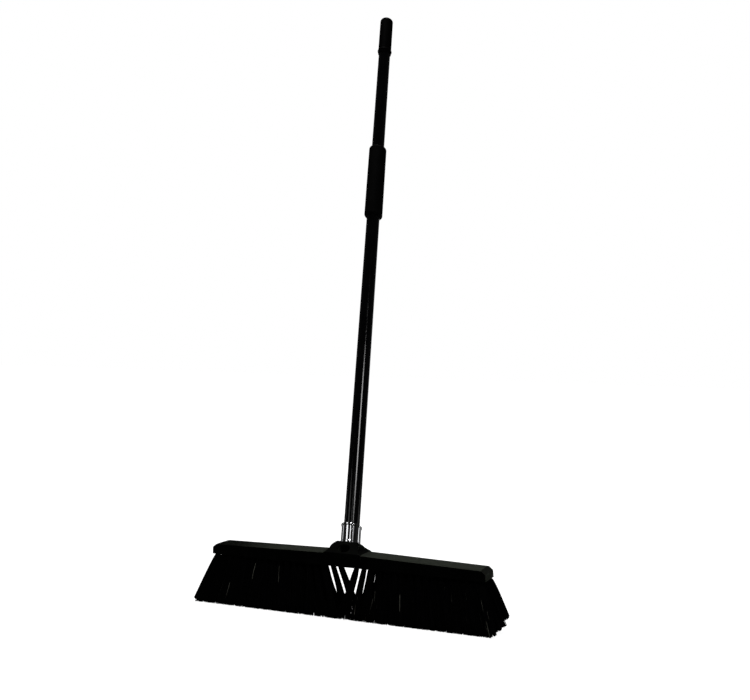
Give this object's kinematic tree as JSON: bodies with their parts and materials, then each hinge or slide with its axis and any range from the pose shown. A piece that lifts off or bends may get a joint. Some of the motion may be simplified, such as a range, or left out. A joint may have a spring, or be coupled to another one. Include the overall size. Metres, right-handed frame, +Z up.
{
  "type": "yard broom",
  "caption": "Yard broom: a bristled head block with a reversible handle hub, and a leaning steel tube handle with a bright ferrule, a sleeve grip and an end cap.",
  "frame": {"origin": "on the floor plane of the bristle tips, under the middle of the head block", "axes": "+X along the head block, +Y towards the side the handle leans to, +Z up from the floor"},
  "size_m": [0.5159, 0.5, 1.0872],
  "materials": {
    "block_plastic": "satin moulded black",
    "bristle": "slightly glossy black filament",
    "anchor_wire": "plain drawn wire",
    "insert_plastic": "plain moulded black",
    "bright_metal": "polished bright plate",
    "handle_paint": "gloss black coating",
    "grip_rubber": "matte black rubber foam",
    "cap_plastic": "satin moulded black"
  },
  "bodies": {
    "head": {"head_block": "block_plastic", "left_front_outer_tufts": "bristle", "left_front_inner_tufts": "bristle", "left_back_outer_tufts": "bristle", "left_back_inner_tufts": "bristle", "right_front_outer_tufts": "bristle", "right_front_inner_tufts": "bristle", "right_back_outer_tufts": "bristle", "right_back_inner_tufts": "bristle", "centre_tufts": "bristle", "tuft_anchors": "anchor_wire"},
    "lower_handle": {"threaded_tip": "insert_plastic", "ferrule": "bright_metal", "lower_tube": "handle_paint", "coupling_spigot": "insert_plastic"},
    "upper_handle": {"coupling_socket": "insert_plastic", "upper_tube": "handle_paint", "grip": "grip_rubber", "top_cap": "cap_plastic"}
  },
  "joints": [
    {"name": "handle_screw", "type": "hinge", "parent": "head", "child": "lower_handle", "pos_m": [0, 0.0175, 0.0892], "axis": [0, 0.4019, 0.9157], "range_deg": [0, 1130]},
    {"name": "upper_handle_screw", "type": "hinge", "parent": "lower_handle", "child": "upper_handle", "pos_m": [0, 0.25873, 0.63874], "axis": [0, 0.4019, 0.9157], "range_deg": [0, 1800]}
  ]
}
